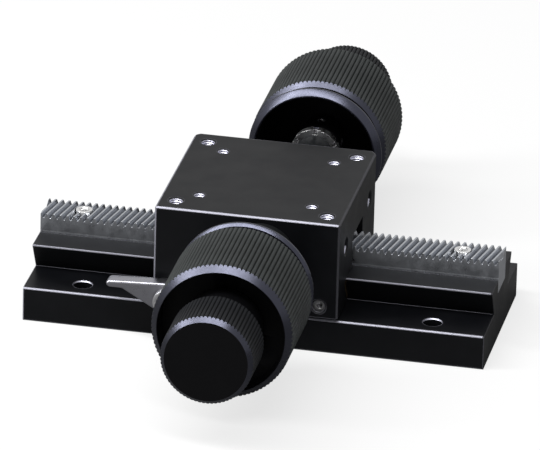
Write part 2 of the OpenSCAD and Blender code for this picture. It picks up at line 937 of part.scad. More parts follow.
module clamp_lever() {
    color([0.6, 0.6, 0.63])
        difference() {
            translate([clamp_x, lever_y - lever_w / 2, cheek_z])
                along_y(lever_w)
                    lever_outline();
            translate([clamp_x, lever_y + cut_over, cheek_z])
                rotate([90, 0, 0])
                    cylinder(h = lever_w + 2 * cut_over, d = clamp_screw_d);
        }
}

module clamp_collar() {
    color([0.8, 0.8, 0.82])
        translate([clamp_x, lever_y, cheek_z])
            rotate([-90, 0, 0])
                difference() {
                    cylinder(h = collar_t, d = collar_d);
                    translate([0, 0, -cut_over])
                        cylinder(h = collar_t + 2 * cut_over, d = clamp_screw_d);
                }
}

module clamp_screw() {
    plug_back = gib_face_y(cheek_z) - clamp_screw_d / 2 / tan(flank_angle) - slide_gap - clamp_plug_l;
    head = lever_y - lever_w;
    color([0.65, 0.65, 0.67])
        translate([clamp_x, head, cheek_z])
            rotate([90, 0, 0])
                difference() {
                    union() {
                        cylinder(h = clamp_head_h, d = clamp_head_d);
                        translate([0, 0, head - plug_back + slide_gap])
                            cylinder(h = plug_back - head - slide_gap, d = clamp_screw_d);
                    }
                    translate([0, 0, clamp_head_h])
                        key_socket(clamp_key, clamp_key_depth);
                }
}

base_rail();
rack();
rack_screws();
carriage_block();
gib();
gib_screws();
clamp_plug();
front_sleeve();
back_sleeve();
front_sleeve_screws();
back_sleeve_screws();
front_bushes();
back_bushes();
friction_nut();
wave_washer();
pinion_shaft();
reducer_carrier();
reducer_balls();
front_coarse_knob();
back_coarse_knob();
front_skirt_ring();
back_skirt_ring();
front_knob_screws();
back_knob_screws();
fine_shaft();
front_fine_knob();
back_fine_knob();
fine_knob_screws();
thrust_washers();
clamp_lever();
clamp_screw();
clamp_collar();
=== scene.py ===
"""The finished look of a rack and pinion dovetail stage with coaxial knobs.

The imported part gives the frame. The knobs, rings, screws and the clamp lever
are built here with their knurls, chamfers and sockets, and every carried
solid gets a finish of its own. All sizes in the classes are millimetres.
"""

from __future__ import annotations

import logging
import math
from dataclasses import dataclass
from enum import Enum

import bmesh
import bpy
from mathutils import Matrix, Vector


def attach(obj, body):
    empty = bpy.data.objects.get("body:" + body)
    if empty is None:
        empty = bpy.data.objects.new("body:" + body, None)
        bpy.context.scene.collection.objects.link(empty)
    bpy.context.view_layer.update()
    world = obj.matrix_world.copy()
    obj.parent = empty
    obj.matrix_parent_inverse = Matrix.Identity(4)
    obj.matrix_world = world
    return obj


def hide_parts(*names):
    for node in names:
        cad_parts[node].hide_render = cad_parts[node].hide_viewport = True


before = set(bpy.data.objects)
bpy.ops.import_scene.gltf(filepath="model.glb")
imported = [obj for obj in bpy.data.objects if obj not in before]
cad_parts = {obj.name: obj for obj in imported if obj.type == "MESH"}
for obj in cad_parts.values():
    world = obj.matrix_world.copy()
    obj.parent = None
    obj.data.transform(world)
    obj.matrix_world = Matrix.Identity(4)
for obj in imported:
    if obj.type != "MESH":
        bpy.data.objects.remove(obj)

LOG = logging.getLogger("stage")
MM = 0.001
Colour = tuple[float, float, float]
Hole = tuple[float, float, float]
Material = bpy.types.Material
Piece = bpy.types.Object
Socket = bpy.types.NodeSocket
Mesh = bmesh.types.BMesh
Vert = bmesh.types.BMVert
Face = bmesh.types.BMFace


class Side(Enum):
    """Which way a turned piece faces along the knob axis."""

    FRONT = -1
    BACK = 1


class Zone(Enum):
    """Slots of a turned knob: ridges, smooth chamfers, turned faces."""

    RIDGES = 0
    CHAMFER = 1
    FACE = 2


@dataclass(frozen=True)
class Layout:
    """Places that the sub-assemblies share, in the stage's own frame."""

    axis_x: float = 2.4
    axis_z: float = 31.7617
    carriage_x: float = -2.3
    carriage_top: float = 45.0
    front_y: float = -31.0
    cheek_pitch: float = 23.8
    cheek_z: float = 16.3
    thirds: tuple[float, ...] = (90.0, 210.0, 330.0)

    def on_axis(self, along: float) -> Matrix:
        """Returns the place on the knob axis at a distance along it."""
        return Matrix.Translation(Vector((self.axis_x, along, self.axis_z)) * MM)


LAYOUT = Layout()


class NodeBench:
    """Builds the nodes of one material, or of the room, a few words a node."""

    edge_starts: float = 0.995
    edge_full: float = 0.86
    probes: int = 6

    def __init__(self, owner: Material | bpy.types.World) -> None:
        """Starts an empty node tree.

        Args:
            owner: The new material or room.
        """
        owner.use_nodes = True
        self.owner = owner
        self.tree = owner.node_tree
        self.tree.nodes.clear()
        kind = "World" if isinstance(owner, bpy.types.World) else "Material"
        self.output = self.tree.nodes.new("ShaderNodeOutput" + kind)

    @classmethod
    def named(cls, name: str) -> NodeBench:
        """Returns the bench of a new material."""
        return cls(bpy.data.materials.new(name))

    def feed(self, socket: Socket, value: object) -> None:
        """Links a socket, or sets its number or colour.

        Args:
            socket: The input to fill.
            value: Another node's output, a number, or a tuple.
        """
        if isinstance(value, Socket):
            self.tree.links.new(value, socket)
        elif isinstance(value, tuple) and socket.type == "RGBA":
            socket.default_value = (*value[:3], 1.0)
        else:
            socket.default_value = value

    def put(self, kind: str, inputs: dict | None = None, **settings: object) -> bpy.types.Node:
        """Adds a node.

        Args:
            kind: Blender's name of the node, without its first word.
            inputs: Values or outputs by input name or number.
            **settings: Properties of the node.

        Returns:
            The new node.
        """
        node = self.tree.nodes.new("ShaderNode" + kind)
        for key, value in settings.items():
            setattr(node, key, value)
        for key, value in (inputs or {}).items():
            self.feed(node.inputs[key], value)
        return node

    def math(self, operation: str, first: object, second: object = 0.0) -> Socket:
        """Adds a sum of one or two numbers and returns its output."""
        return self.put("Math", {0: first, 1: second}, operation=operation).outputs[0]

    def most(self, first: object, second: object) -> Socket:
        """Returns the larger of two shares."""
        return self.math("MAXIMUM", first, second)

    def times(self, first: object, second: object) -> Socket:
        """Returns the product of two shares, which is 1 where both are."""
        return self.math("MULTIPLY", first, second)

    def off(self, value: object, place: float) -> Socket:
        """Returns how far a coordinate is past a place in millimetres."""
        return self.math("SUBTRACT", value, place * MM)

    def above(self, value: object, place: float) -> Socket:
        """Returns 1 where a coordinate is past a place in millimetres."""
        return self.math("GREATER_THAN", value, place * MM)

    def below(self, value: object, place: float) -> Socket:
        """Returns 1 where a coordinate is short of a place in millimetres."""
        return self.math("LESS_THAN", value, place * MM)

    def squares(self, first: object, second: object) -> Socket:
        """Returns the sum of the squares of two numbers."""
        return self.math("ADD", self.times(first, first), self.times(second, second))

    def within(self, first: object, second: object, radius: float) -> Socket:
        """Returns 1 where two offsets lie in a circle of millimetres."""
        return self.math("LESS_THAN", self.squares(first, second), (radius * MM) ** 2)

    def rays(self) -> tuple[Socket, Socket]:
        """Returns the shares of the camera's own rays, and of those in gloss or glass."""
        path = self.put("LightPath").outputs
        mirrored = self.most(path["Is Glossy Ray"], path["Is Transmission Ray"])
        return path["Is Camera Ray"], mirrored

    def places(self) -> Socket:
        """Returns the place on the piece itself, in metres."""
        return self.put("TexCoord").outputs["Object"]

    def axes(self) -> tuple[Socket, Socket, Socket]:
        """Returns the three coordinates on the piece itself, in metres."""
        return tuple(self.put("SeparateXYZ", {0: self.places()}).outputs)

    def noise(self, size: float, detail: float = 3.0, places: object = None) -> Socket:
        """Adds a noise.

        Args:
            size: Size of its grains in millimetres.
            detail: How many finer layers it has.
            places: The place that it reads, or None for the piece's own.

        Returns:
            Its value, about 0.5.
        """
        where = places if places is not None else self.places()
        inputs = {"Vector": where, "Scale": 1 / (size * MM), "Detail": detail}
        return self.put("TexNoise", inputs).outputs[0]

    def spread(self, value: object, low: float, high: float, start: float, end: float) -> Socket:
        """Maps a value from one range to another, clamped, and returns it."""
        return self.put("MapRange", {0: value, 1: low, 2: high, 3: start, 4: end}).outputs[0]

    def blend(self, share: object, first: object, second: object) -> Socket:
        """Mixes two colours by a share and returns the result."""
        inputs = {0: share, 6: first, 7: second}
        return self.put("Mix", inputs, data_type="RGBA").outputs[2]

    def bump(self, height: object, depth: float, normal: object = None) -> Socket:
        """Adds a bump.

        Args:
            height: The height, from 0 to 1.
            depth: What a height of 1 stands for, in millimetres.
            normal: The normal under it.

        Returns:
            The bumped normal.
        """
        node = self.put("Bump", {"Height": height, "Distance": depth * MM, "Strength": 1.0})
        if normal is not None:
            self.feed(node.inputs["Normal"], normal)
        return node.outputs[0]

    def rounding(self, radius: float) -> tuple[Socket, Socket]:
        """Rounds the sharp edges in the shading.

        Args:
            radius: Radius of the rounding in millimetres.

        Returns:
            The rounded normal, and a share that is 1 along the edges.
        """
        soft = self.put("Bevel", {"Radius": radius * MM}, samples=self.probes).outputs[0]
        flat = self.put("NewGeometry").outputs["Normal"]
        turned = self.put("VectorMath", {0: soft, 1: flat}, operation="DOT_PRODUCT")
        facing = turned.outputs["Value"]
        return soft, self.spread(facing, self.edge_starts, self.edge_full, 0.0, 1.0)

    def turning(self, pitch: float) -> Socket:
        """Returns the height of fine rings turned about the knob axis.

        Args:
            pitch: Distance between the rings in millimetres.
        """
        x, y, z = self.axes()
        reach = self.squares(self.off(x, LAYOUT.axis_x), self.off(z, LAYOUT.axis_z))
        along = self.math("ADD", self.math("SQRT", reach), y)
        return self.noise(pitch, 4.0, self.put("CombineXYZ", {0: along}).outputs[0])

    def surface(self, **inputs: object) -> Material:
        """Ends the tree in a surface, its inputs' blanks written as underscores."""
        named = {key.replace("_", " "): value for key, value in inputs.items()}
        return self.end(self.put("BsdfPrincipled", named).outputs[0])

    def end(self, shader: Socket) -> Material | bpy.types.World:
        """Ends the tree in a shader and returns its owner."""
        self.feed(self.output.inputs[0], shader)
        return self.owner


@dataclass(frozen=True)
class Finish:
    """A satin finish in one colour, with fine grain and pale edges, part wear and part painted
    highlight.

    Attributes:
        metal: Share of bare metal in it.
        glint: Level of its reflection, 0.5 for plain plastic or glass.
        sheen: Tint of its reflection.
        cloud_range: Values of the clouds between which the roughness changes.
        swing: How far the roughness falls and rises in the clouds.
    """

    name: str
    colour: Colour
    metal: float = 0.0
    rough: float = 0.4
    glint: float = 0.5
    sheen: Colour = (1.0, 1.0, 1.0)
    round_edge: float = 0.2
    cloud: float = 4.0
    cloud_range: tuple[float, float] = (0.3, 0.7)
    swing: tuple[float, float] = (0.05, 0.06)
    grain: float = 0.12
    grain_depth: float = 0.004

    def shade(self, factor: float, lift: float = 0.0) -> Colour:
        """Returns the colour made darker or paler."""
        return tuple(min(1.0, c * factor + lift) for c in self.colour)

    def laid(self, bench: NodeBench, tone: Socket, normal: Socket, metal: object = None) -> Material:
        """Ends a bench in the finish.

        Args:
            bench: The bench.
            tone: Colour at each place.
            normal: The normal.
            metal: Share of bare metal, or None for the finish's own.

        Returns:
            The material.
        """
        cloud, (low, high), (down, up) = bench.noise(self.cloud), self.cloud_range, self.swing
        return bench.surface(
            Base_Color=tone,
            Metallic=self.metal if metal is None else metal,
            Specular_IOR_Level=self.glint,
            Specular_Tint=self.sheen,
            Roughness=bench.spread(cloud, low, high, self.rough - down, self.rough + up),
            Normal=normal,
        )

    def build(self) -> Material:
        """Builds the finish."""
        bench = NodeBench.named(self.name)
        soft, edge = bench.rounding(self.round_edge)
        # Pale edges: part wear, part painted highlight along the rounded edges.
        edge_wear_and_glint, pale = bench.times(edge, 0.6), self.shade(1.35, 0.02)
        tone = bench.blend(edge_wear_and_glint, self.colour, pale)
        normal = bench.bump(bench.noise(self.grain, 2.0), self.grain_depth, soft)
        return self.laid(bench, tone, normal)


@dataclass(frozen=True)
class BlackAnodised(Finish):
    """Black anodising on milled metal, with pale edges: bare metal where a cutter broke them, and
    painted highlight.

    Attributes:
        cut: Colour that shows along the edges: bare metal, tinted as a painted highlight.
        bare_edge_glint_share: How much of it shows.
        right_end: Where the piece ends along the rail.
        shaded_end_length: Length of the right end, whose edges get less of the pale edge colour, as
            painted shade.
        shaded_end_share: How much of the cut colour shows there.
        past_wall: How far past a hole's wall the bare metal reaches.
        holes: Place along, place across and radius of the holes in one quarter of the top.
    """

    round_edge: float = 0.38
    cloud: float = 9.0
    cloud_range: tuple[float, float] = (0.25, 0.75)
    swing: tuple[float, float] = (0.04, 0.05)
    grain: float = 0.1
    grain_depth: float = 0.003
    cut: Colour = (0.62, 0.62, 0.72)
    bare_edge_glint_share: float = 0.45
    right_end: float = 75.0
    shaded_end_length: float = 0.6
    shaded_end_share: float = 0.06
    past_wall: float = 0.04
    holes: tuple[Hole, ...] = ()

    def edges(self, bench: NodeBench) -> object:
        """Returns the share of the machined chamfers at each place."""
        return 0.0

    def bored(self, bench: NodeBench, middle: float) -> object:
        """Returns a share that is 1 in the holes of the top, about a middle along the rail."""
        x, y, _ = bench.axes()
        off_x = bench.math("ABSOLUTE", bench.off(x, middle))
        off_y = bench.math("ABSOLUTE", y)
        found: object = 0.0
        for along, across, radius in self.holes:
            reach = radius + self.past_wall
            here = bench.within(bench.off(off_x, along), bench.off(off_y, across), reach)
            found = bench.most(here, found)
        return found

    def bare(self, bench: NodeBench) -> object:
        """Returns the share of bare metal in the holes."""
        return 0.0

    def thread(self, bench: NodeBench) -> object:
        """Returns the height of the threads, in metres."""
        return 0.0

    def build(self) -> Material:
        """Builds the anodised finish."""
        bench = NodeBench.named(self.name)
        soft, edge = bench.rounding(self.round_edge)
        # Pale edge colour: bare metal along the chamfers and holes, and painted highlight; the right
        # end gets less of it as painted shade.
        in_shaded_end = bench.above(bench.axes()[0], self.right_end - self.shaded_end_length)
        kept = bench.spread(in_shaded_end, 0.0, 1.0, self.bare_edge_glint_share, self.shaded_end_share)
        share = bench.times(bench.most(edge, self.edges(bench)), kept)
        share = bench.most(share, self.bare(bench))
        threads = bench.bump(self.thread(bench), 1 / MM, soft)
        clouded = bench.spread(bench.noise(self.cloud), 0.3, 0.7, 0.0, 1.0)
        tone = bench.blend(clouded, self.shade(0.8), self.colour)
        normal = bench.bump(bench.noise(self.grain, 2.0), self.grain_depth, threads)
        return self.laid(bench, bench.blend(share, tone, self.cut), normal, share)


@dataclass(frozen=True)
class RailAnodised(BlackAnodised):
    """The rail's anodising, with its long chamfers and the painted highlight on the rims of its
    holes.
    """

    half_width: float = 30.0
    flange: float = 11.5
    way_half: float = 17.5
    way_top: float = 21.0
    rim: float = 0.5
    rim_glint_share: float = 0.9
    corner: float = 0.3
    chamfer: float = 0.55
    holes: tuple[Hole, ...] = ((57.0, 23.0, 3.2),)

    def edges(self, bench: NodeBench) -> object:
        """Returns the share of the machined chamfers at each place."""
        x, y, high = bench.axes()
        off = bench.math("ABSOLUTE", y)
        ends = bench.above(bench.math("ABSOLUTE", x), self.right_end - self.corner)
        found = bench.times(ends, bench.above(off, self.half_width - self.corner))
        for half, top in ((self.half_width, self.flange), (self.way_half, self.way_top)):
            outer = bench.above(off, half - self.chamfer)
            upper = bench.above(high, top - self.chamfer)
            lower = bench.below(high, top + self.chamfer)
            found = bench.most(bench.times(bench.times(outer, upper), lower), found)
        return found

    def bare(self, bench: NodeBench) -> object:
        """Returns the share of bare metal with painted highlight on the rims of the mounting holes.
        """
        # Painted highlight: the top of each hole's wall takes the pale metal colour.
        upper = bench.above(bench.axes()[2], self.flange - self.rim)
        return bench.times(bench.times(self.bored(bench, 0.0), upper), self.rim_glint_share)

    def thread(self, bench: NodeBench) -> object:
        """Returns the height that tilts the rims of the mounting holes upwards, in metres."""
        fall = bench.math("SUBTRACT", self.flange * MM, bench.axes()[2])
        tilt = bench.math("MINIMUM", fall, self.rim * MM)
        return bench.times(tilt, self.bored(bench, 0.0))


@dataclass(frozen=True)
class CarriageAnodised(BlackAnodised):
    """The carriage's anodising, with its chamfers and the threads of its holes."""

    right_end: float = 27.7
    half_length: float = 30.0
    half_width: float = 31.0
    chamfer: float = 0.55
    thread_pitch: float = 0.8
    holes: tuple[Hole, ...] = ((24.5, 24.5, 2.1), (18.25, 18.25, 1.65))
    end_hole: float = 2.5
    end_hole_y: float = 19.5
    end_hole_z: float = 33.0

    def edges(self, bench: NodeBench) -> object:
        """Returns the share of the machined chamfers, which lie where two faces end."""
        x, y, z = bench.axes()
        off_x = bench.math("ABSOLUTE", bench.off(x, LAYOUT.carriage_x))
        ends = bench.above(off_x, self.half_length - self.chamfer)
        sides = bench.above(bench.math("ABSOLUTE", y), self.half_width - self.chamfer)
        top = bench.above(z, LAYOUT.carriage_top - self.chamfer)
        count = bench.math("ADD", bench.math("ADD", ends, sides), top)
        return bench.math("GREATER_THAN", count, 1.5)

    def end_bored(self, bench: NodeBench) -> Socket:
        """Returns a share that is 1 in the tapped holes of the ends."""
        _, y, z = bench.axes()
        off_y = bench.off(bench.math("ABSOLUTE", y), self.end_hole_y)
        reach = self.end_hole + self.past_wall
        return bench.within(off_y, bench.off(z, self.end_hole_z), reach)

    def bare(self, bench: NodeBench) -> object:
        """Returns the share of bare metal: the threads of the tapped holes, in the end holes only
        their lower part, as a painted highlight.
        """
        # Painted highlight: the end holes get the pale bare metal only below their middle.
        lower = bench.below(bench.axes()[2], self.end_hole_z - self.end_hole / 3)
        ends = bench.times(self.end_bored(bench), lower)
        return bench.most(self.bored(bench, LAYOUT.carriage_x), ends)

    def thread(self, bench: NodeBench) -> object:
        """Returns the height of the threads, in metres."""
        x, _, z = bench.axes()
        half = self.thread_pitch / 2 * MM
        down = bench.math("PINGPONG", z, half)
        inward = bench.math("PINGPONG", x, half)
        top = bench.times(down, self.bored(bench, LAYOUT.carriage_x))
        return bench.math("ADD", top, bench.times(inward, self.end_bored(bench)))


@dataclass(frozen=True)
class TurnedAnodised(Finish):
    """Anodised metal with the lathe's fine rings left on it."""

    cloud: float = 5.0
    swing: tuple[float, float] = (0.03, 0.05)

    def build(self) -> Material:
        """Builds the turned finish."""
        bench = NodeBench.named(self.name)
        rings = bench.turning(self.grain)
        striped = bench.spread(rings, 0.3, 0.7, 0.0, 1.0)
        tone = bench.blend(striped, self.shade(0.75), self.colour)
        normal = bench.bump(rings, self.grain_depth)
        return self.laid(bench, tone, normal)


@dataclass(frozen=True)
class RidgedAnodised(Finish):
    """Anodised ridges of a knurl, with a painted highlight on their crests and painted shade in
    their grooves.
    """

    cloud: float = 6.0
    swing: tuple[float, float] = (0.05, 0.07)
    grain: float = 0.15
    grain_depth: float = 0.01
    hollow: float = 0.47
    crest: float = 0.55

    def build(self) -> Material:
        """Builds the knurl's finish."""
        bench = NodeBench.named(self.name)
        pointed = bench.put("NewGeometry").outputs["Pointiness"]
        # Painted highlight on the crests and painted shade in the grooves, by how pointed the mesh
        # is.
        raised = bench.spread(pointed, self.hollow, self.crest, 0.0, 1.0)
        tone = bench.blend(raised, self.shade(0.6), self.shade(1.8, 0.004))
        normal = bench.bump(bench.noise(self.grain, 3.0), self.grain_depth)
        return self.laid(bench, tone, normal)


@dataclass(frozen=True)
class CutSteel(Finish):
    """Machined steel: brushed one way, with painted shade in its hollows, and pale edges, part wear
    and part painted highlight.

    Attributes:
        brush: How the brushed lines are stretched along each axis.
        hollow: Share of the colour that is left in the hollows, as painted shade.
    """

    metal: float = 1.0
    round_edge: float = 0.12
    cloud: float = 3.0
    swing: tuple[float, float] = (0.07, 0.07)
    grain_depth: float = 0.006
    brush: Colour = (1.0, 1.0, 1.0)
    hollow: float = 0.5
    shelter: float = 1.2

    def painted_highlight(self, bench: NodeBench) -> object:
        """Returns the share of painted highlight at each place."""
        return 0.0

    def build(self) -> Material:
        """Builds the steel finish."""
        bench = NodeBench.named(self.name)
        soft, edge = bench.rounding(self.round_edge)
        stretch = {0: bench.places(), 1: self.brush}
        lines = bench.put("VectorMath", stretch, operation="MULTIPLY").outputs[0]
        # Painted shade: where the occlusion finds hollows, the colour is darkened towards the hollow
        # share.
        reach = {"Distance": self.shelter * MM}
        openness = bench.put("AmbientOcclusion", reach, samples=bench.probes).outputs["AO"]
        unshaded_share = bench.spread(openness, 0.35, 0.95, 0.0, 1.0)
        tone = bench.blend(unshaded_share, self.shade(self.hollow), self.colour)
        # Pale edges, part wear and part painted highlight, joined with any painted highlight line.
        edge_wear_and_glint = bench.most(bench.times(edge, 0.8), self.painted_highlight(bench))
        normal = bench.bump(bench.noise(self.grain, 3.0, lines), self.grain_depth, soft)
        tone = bench.blend(edge_wear_and_glint, tone, self.shade(1.5, 0.05))
        return self.laid(bench, tone, normal)


@dataclass(frozen=True)
class RackSteel(CutSteel):
    """The rack's steel, with a painted highlight along its foot."""

    foot: float = 21.0
    foot_width: float = 0.65
    side: float = 6.15

    def painted_highlight(self, bench: NodeBench) -> object:
        """Returns the share of painted highlight: the line along the rack's foot."""
        _, y, z = bench.axes()
        # Painted highlight: a pale line along the foot of the rack's sides.
        low = bench.below(z, self.foot + self.foot_width)
        return bench.times(low, bench.above(bench.math("ABSOLUTE", y), self.side))


class FinishSet:
    """Every finish of the stage, built once."""

    black: Colour = (0.0028, 0.0031, 0.0042)
    lavender: Colour = (0.72, 0.75, 1.0)
    lengthwise: Colour = (0.2, 1.0, 1.0)

    def __init__(self) -> None:
        """Builds the finishes that carried solids take by slot, and those of the knobs."""
        milled = {"colour": self.black, "rough": 0.42, "glint": 0.21}
        self.rail = RailAnodised("rail_anodised", **milled).build()
        self.carriage = CarriageAnodised("carriage_anodised", **milled).build()
        coarse, fine = (0.0165, 0.0185, 0.0185), (0.0070, 0.0074, 0.0085)
        self.ridges = RidgedAnodised("knob_ridges", coarse, rough=0.5, glint=0.12).build()
        self.fine_ridges = RidgedAnodised("fine_ridges", fine, rough=0.46, glint=0.08).build()
        face, chamfer, ring = (0.003, 0.003, 0.0036), (0.004, 0.004, 0.005), (0.005, 0.005, 0.007)
        self.face = TurnedAnodised("knob_faces", face, rough=0.42, glint=0.10).build()
        cut = {"rough": 0.29, "glint": 0.9, "sheen": self.lavender}
        self.chamfer = TurnedAnodised("knob_chamfers", chamfer, **cut).build()
        ground = {"rough": 0.27, "glint": 1.0, "sheen": self.lavender}
        self.ring = TurnedAnodised("skirt_ring", ring, **ground).build()
        plain = (
            RackSteel("rack_steel", (0.54, 0.56, 0.60), rough=0.34, brush=self.lengthwise),
            CutSteel("bright_steel", (0.95, 0.95, 0.95), rough=0.2, hollow=0.45),
            CutSteel("screw_steel", (0.80, 0.80, 0.82), rough=0.3, hollow=0.3),
            CutSteel("bearing_brass", (0.24, 0.18, 0.10), rough=0.35),
            Finish("sleeve_black", (0.010, 0.011, 0.012), rough=0.38, glint=0.15),
            CutSteel("ground_steel", (0.55, 0.55, 0.56), rough=0.25, hollow=0.4),
            Finish("white_nylon", (0.75, 0.74, 0.70), rough=0.45),
            CutSteel("lever_metal", (0.40, 0.40, 0.44), rough=0.30, brush=self.lengthwise),
        )
        self.by_slot: dict[str, Material] = {finish.name: finish.build() for finish in plain}
        self.by_slot["black_anodised"] = self.rail
        self.by_slot["knob_black"] = self.face
        self.by_slot["ring_grey"] = self.ring

    def knob(self, ridges: Material) -> dict[Zone, Material]:
        """Returns the finishes of a knob's zones, its ridges in the one given."""
        return {Zone.RIDGES: ridges, Zone.CHAMFER: self.chamfer, Zone.FACE: self.face}

    def dress_carried(self) -> int:
        """Gives every carried solid the finish of its slot.

        Returns:
            How many solids were dressed.
        """
        for name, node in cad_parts.items():
            for holder in node.material_slots:
                slot = holder.material.name if holder.material else ""
                if slot in self.by_slot:
                    holder.material = self.by_slot[slot]
            if name == "carriage_block":
                node.material_slots[0].material = self.carriage
        return len(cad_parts)


@dataclass(frozen=True)
class Row:
    """One ring of a turned outline.

    Attributes:
        along: Distance from the middle plane.
        radius: Distance from the axis.
        zone: Finish of the band that starts here.
        depth: Depth of the ridges at this ring.
        lean: How far a lower point of a ridge moves along, for each millimetre of its drop.
        ease: Radius that the corner is broken with.
    """

    along: float
    radius: float
    zone: Zone = Zone.FACE
    depth: float = 0.0
    lean: float = 0.0
    ease: float = 0.0


@dataclass(frozen=True)
class Knurl:
    """Straight ridges round a knob: their number, and the shape of one."""

    ridges: int = 96
    shape: tuple[float, ...] = (0.0, 0.55, 0.88, 1.0, 1.0, 1.0, 0.88, 0.55)

    def columns(self) -> int:
        """Returns how many points the knob has round its axis."""
        return self.ridges * len(self.shape)

    def drop(self, column: int, depth: float) -> float:
        """Returns how far a point lies under the ridges' crests."""
        return depth * (1.0 - self.shape[column % len(self.shape)])


class Workshop:
    """Turns, cuts and joins meshes."""

    widest_cut: float = 0.45

    @staticmethod
    def eased(rows: list[Row], steps: int = 3) -> list[Row]:
        """Breaks the corners of an outline.

        Args:
            rows: The outline, closed from its last row to its first.
            steps: How many bands a broken corner gets.

        Returns:
            The outline with its broken corners.
        """
        made: list[Row] = []
        for i, row in enumerate(rows):
            if row.ease <= 0:
                made.append(row)
                continue
            before, after = rows[i - 1], rows[(i + 1) % len(rows)]
            here = Vector((row.along, row.radius))
            back = Vector((before.along, before.radius)) - here
            ahead = Vector((after.along, after.radius)) - here
            cut = min(row.ease, Workshop.widest_cut * min(back.length, ahead.length))
            start, end = here + back.normalized() * cut, here + ahead.normalized() * cut
            for k in range(steps + 1):
                t = k / steps
                point = start * (1 - t) ** 2 + here * 2 * t * (1 - t) + end * t * t
                zone = row.zone if k == steps else Zone.CHAMFER
                made.append(Row(point.x, point.y, zone))
        return made

    @staticmethod
    def skinned(mesh: Mesh, first: list[Vert], second: list[Vert]) -> list[Face]:
        """Joins two rings of as many points by a band of faces.

        Args:
            mesh: The mesh that they are in.
            first: Points of a ring.
            second: Points of the next ring.

        Returns:
            The new faces.
        """
        made: list[Face] = []
        for j in range(len(first)):
            k = (j + 1) % len(first)
            corners = list(dict.fromkeys((first[j], first[k], second[k], second[j])))
            if len(corners) > 2:
                made.append(mesh.faces.new(corners))
        return made

    @staticmethod
    def turned(
        name: str, side: Side, rows: list[Row], knurl: Knurl, zones: dict[Zone, Material]
    ) -> Piece:
        """Turns an outline about the knob axis.

        Args:
            name: Name of the piece.
            side: Which way it faces.
            rows: Its outline, closed from the last row to the first.
            knurl: The points and ridges round it.
            zones: The material of each zone.

        Returns:
            The new piece.
        """
        mesh = bmesh.new()
        count = knurl.columns()
        outline = Workshop.eased(rows)
        rings: list[list[Vert]] = []
        for row in outline:
            ring: list[Vert] = []
            for j in range(count if row.radius > 0 else 1):
                drop = knurl.drop(j, row.depth)
                radius = row.radius - drop
                turn = 2 * math.pi * j / count
                ring.append(mesh.verts.new((
                    (LAYOUT.axis_x + radius * math.sin(turn)) * MM,
                    side.value * (row.along + row.lean * drop) * MM,
                    (LAYOUT.axis_z + radius * math.cos(turn)) * MM,
                )))
            rings.append(ring * (count // len(ring)))
        order = [zone for zone in Zone if zone in zones]
        for i, row in enumerate(outline):
            for face in Workshop.skinned(mesh, rings[i], rings[(i + 1) % len(rings)]):
                face.material_index = order.index(row.zone)
        bmesh.ops.recalc_face_normals(mesh, faces=mesh.faces)
        return Workshop.finished(name, mesh, [zones[zone] for zone in order])

    @staticmethod
    def finished(name: str, mesh: Mesh, materials: list[Material], sharp: float = 32.0) -> Piece:
        """Makes an object of a mesh, smooth but for its sharp edges.

        Args:
            name: Name of the piece.
            mesh: The mesh, which is freed.
            materials: Its materials in the order of the faces' numbers.
            sharp: Angle between faces from which an edge stays sharp, in degrees.

        Returns:
            The new piece.
        """
        for face in mesh.faces:
            face.smooth = True
        for edge in mesh.edges:
            if len(edge.link_faces) == 2 and edge.calc_face_angle(0.0) > math.radians(sharp):
                edge.smooth = False
        data = bpy.data.meshes.new(name)
        mesh.to_mesh(data)
        mesh.free()
        for material in materials:
            data.materials.append(material)
        piece = bpy.data.objects.new(name, data)
        bpy.context.scene.collection.objects.link(piece)
        return piece

    @staticmethod
    def circle(mesh: Mesh, place: Matrix, radius: float, high: float, sides: int) -> list[Vert]:
        """Adds a ring of points about the place's own Z.

        Args:
            mesh: The mesh that it goes into.
            place: Its place, in metres.
            radius: Its radius.
            high: Where it lies along Z.
            sides: How many points it has.

        Returns:
            Its points, or one point over and over where it has no radius.
        """
        ring: list[Vert] = []
        for j in range(sides if radius > 0 else 1):
            turn = 2 * math.pi * j / sides
            spot = Vector((radius * math.cos(turn), radius * math.sin(turn), high)) * MM
            ring.append(mesh.verts.new(place @ spot))
        return ring * (sides // len(ring))

    @staticmethod
    def rod(
        mesh: Mesh, place: Matrix, radius: float, start: float, end: float, sides: int = 48
    ) -> None:
        """Adds a closed rod along the place's own Z.

        Args:
            mesh: The mesh that it goes into.
            place: Its place, in metres.
            radius: Its radius.
            start: Where it starts along Z.
            end: Where it ends along Z.
            sides: How many sides it has.
        """
        low, high = (Workshop.circle(mesh, place, radius, at, sides) for at in (start, end))
        faces = [mesh.faces.new(low[::-1]), mesh.faces.new(high)]
        faces += Workshop.skinned(mesh, low, high)
        bmesh.ops.recalc_face_normals(mesh, faces=faces)

    @staticmethod
    def cut(piece: Piece, cutter: Mesh) -> None:
        """Cuts closed rods out of a piece.

        Args:
            piece: The piece to cut.
            cutter: The rods, freed afterwards.
        """
        tool = Workshop.finished("cutter", cutter, [])
        change = piece.modifiers.new("cut", "BOOLEAN")
        change.object, change.operation, change.solver = tool, "DIFFERENCE", "EXACT"
        bpy.context.view_layer.update()
        seen = piece.evaluated_get(bpy.context.evaluated_depsgraph_get())
        data = bpy.data.meshes.new_from_object(seen)
        piece.modifiers.clear()
        old, piece.data = piece.data, data
        bpy.data.meshes.remove(old)
        bpy.data.objects.remove(tool)

    @staticmethod
    def handed(piece: Piece, body: str, slot: str, *nodes: str) -> None:
        """Puts a piece on its body in place of the solids that it stands for.

        Args:
            piece: The piece.
            body: Body that it rides on.
            slot: Slot of the record that its finish is from; not used.
            *nodes: Solids that it stands for.
        """
        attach(piece, body)
        if nodes:
            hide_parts(*nodes)
        LOG.info("%s: %d faces, on %s", piece.name, len(piece.data.polygons), body)


